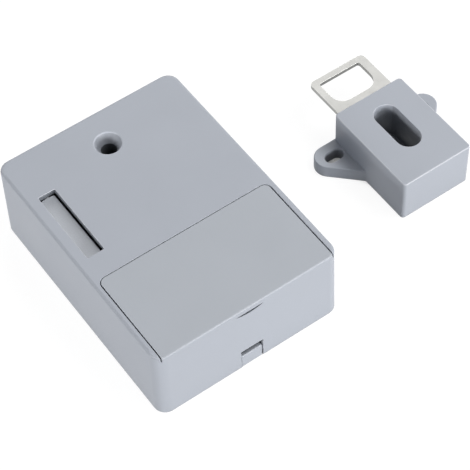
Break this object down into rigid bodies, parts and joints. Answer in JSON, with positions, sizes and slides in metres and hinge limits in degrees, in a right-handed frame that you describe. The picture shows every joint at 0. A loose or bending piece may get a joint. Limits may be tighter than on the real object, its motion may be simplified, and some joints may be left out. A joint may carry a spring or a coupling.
{
  "type": "electronic cabinet lock",
  "caption": "Box-shaped battery cabinet lock with a hinged battery cover, sprung tongue slot and motor-driven bolt, and a separate eared strike block with a windowed steel tongue.",
  "frame": {"origin": "centre of the lock's base, on the face that lies against the door", "axes": "+Z from the base to the top with the tongue slot, -Y to the battery end, +X from the lock to the strike"},
  "size_m": [0.1409, 0.09, 0.0293],
  "materials": {
    "case_plastic": "fine satin moulding, cool grey",
    "ejector_plastic": "matt moulding, neutral grey",
    "inner_plastic": "plain off-white moulding",
    "dark_plastic": "plain black moulding",
    "cell_jacket": "plain printed sleeve over a metal can",
    "spring_wire": "bright wire",
    "contact_plate": "plated sheet",
    "tongue_steel": "brushed stainless sheet with broken edges",
    "screw_steel": "zinc plated",
    "bolt_zinc": "die cast zinc",
    "screw_brass": "turned brass",
    "motor_can": "drawn can",
    "coil_copper": "enamelled copper",
    "board": "green solder mask",
    "red_lead": "red insulation",
    "black_lead": "black insulation"
  },
  "bodies": {
    "lock": {"housing": "case_plastic", "base_plate": "case_plastic", "base_screw_left": "screw_steel", "base_screw_right": "screw_steel", "battery_cell_front": "cell_jacket", "battery_cell_middle": "cell_jacket", "battery_cell_back": "cell_jacket", "battery_spring_front": "spring_wire", "battery_spring_middle": "spring_wire", "battery_spring_back": "spring_wire", "contact_negative": "contact_plate", "contact_positive": "contact_plate", "contact_bridge_left": "contact_plate", "contact_bridge_right": "contact_plate", "battery_lead_positive": "red_lead", "battery_lead_negative": "black_lead", "motor_lead_positive": "red_lead", "motor_lead_negative": "black_lead", "main_board": "board", "board_screw_left": "screw_steel", "board_screw_right": "screw_steel", "controller_chip": "dark_plastic", "reader_chip": "dark_plastic", "buzzer": "dark_plastic", "capacitor": "dark_plastic", "lead_connector": "inner_plastic", "antenna_coil": "coil_copper", "set_switch": "dark_plastic", "mechanism_chassis": "dark_plastic", "chassis_screw_left": "screw_steel", "chassis_screw_right": "screw_steel", "chassis_screw_rear": "screw_steel", "ejector_spring_near": "spring_wire", "ejector_spring_far": "spring_wire", "bolt_keeper": "inner_plastic", "keeper_screw_near": "screw_steel", "keeper_screw_far": "screw_steel", "gearbox": "screw_brass", "motor": "motor_can", "motor_end_cap": "dark_plastic", "motor_strap": "contact_plate", "position_switch": "dark_plastic"},
    "cover": {"battery_cover": "case_plastic"},
    "ejector": {"ejector": "ejector_plastic"},
    "bolt": {"latch_bolt": "bolt_zinc"},
    "screw": {"drive_screw": "screw_brass"},
    "button": {"set_button": "dark_plastic"},
    "lever": {"switch_lever": "contact_plate"},
    "strike": {"strike_block": "case_plastic", "strike_tongue": "tongue_steel", "tongue_screw_left": "screw_steel", "tongue_screw_right": "screw_steel"}
  },
  "joints": [
    {"name": "cover_hinge", "type": "hinge", "parent": "lock", "child": "cover", "pos_m": [0, -0.0106, 0.0293], "axis": [-1, 0, 0], "range_deg": [0, 70]},
    {"name": "ejector_slide", "type": "slide", "parent": "lock", "child": "ejector", "axis": [0, 0, -1], "range_m": [0, 0.014], "stiffness_N_per_m": 280, "springref_m": -0.007, "deforming": ["ejector_spring_near", "ejector_spring_far"]},
    {"name": "bolt_slide", "type": "slide", "parent": "lock", "child": "bolt", "axis": [-1, 0, 0], "range_m": [0, 0.0055]},
    {"name": "screw_spin", "type": "hinge", "parent": "lock", "child": "screw", "pos_m": [0, 0.0122, 0.012], "axis": [1, 0, 0], "range_deg": [0, 360]},
    {"name": "button_press", "type": "slide", "parent": "lock", "child": "button", "axis": [0, 0, -1], "range_m": [0, 0.0005], "stiffness_N_per_m": 600, "springref_m": -0.001},
    {"name": "lever_press", "type": "hinge", "parent": "lock", "child": "lever", "pos_m": [0.0056, 0.0122, 0.0232], "axis": [0, -1, 0], "range_deg": [0, 8], "stiffness_Nm_per_rad": 0.002, "springref_deg": -11.46},
    {"name": "strike_slide", "type": "slide", "parent": "lock", "child": "strike", "axis": [1, 0, 0], "range_m": [0, 0.05]}
  ],
  "couplings": [
    {"joint": "screw_spin", "follows": "bolt_slide", "rad_per_m": 1047.2}
  ]
}
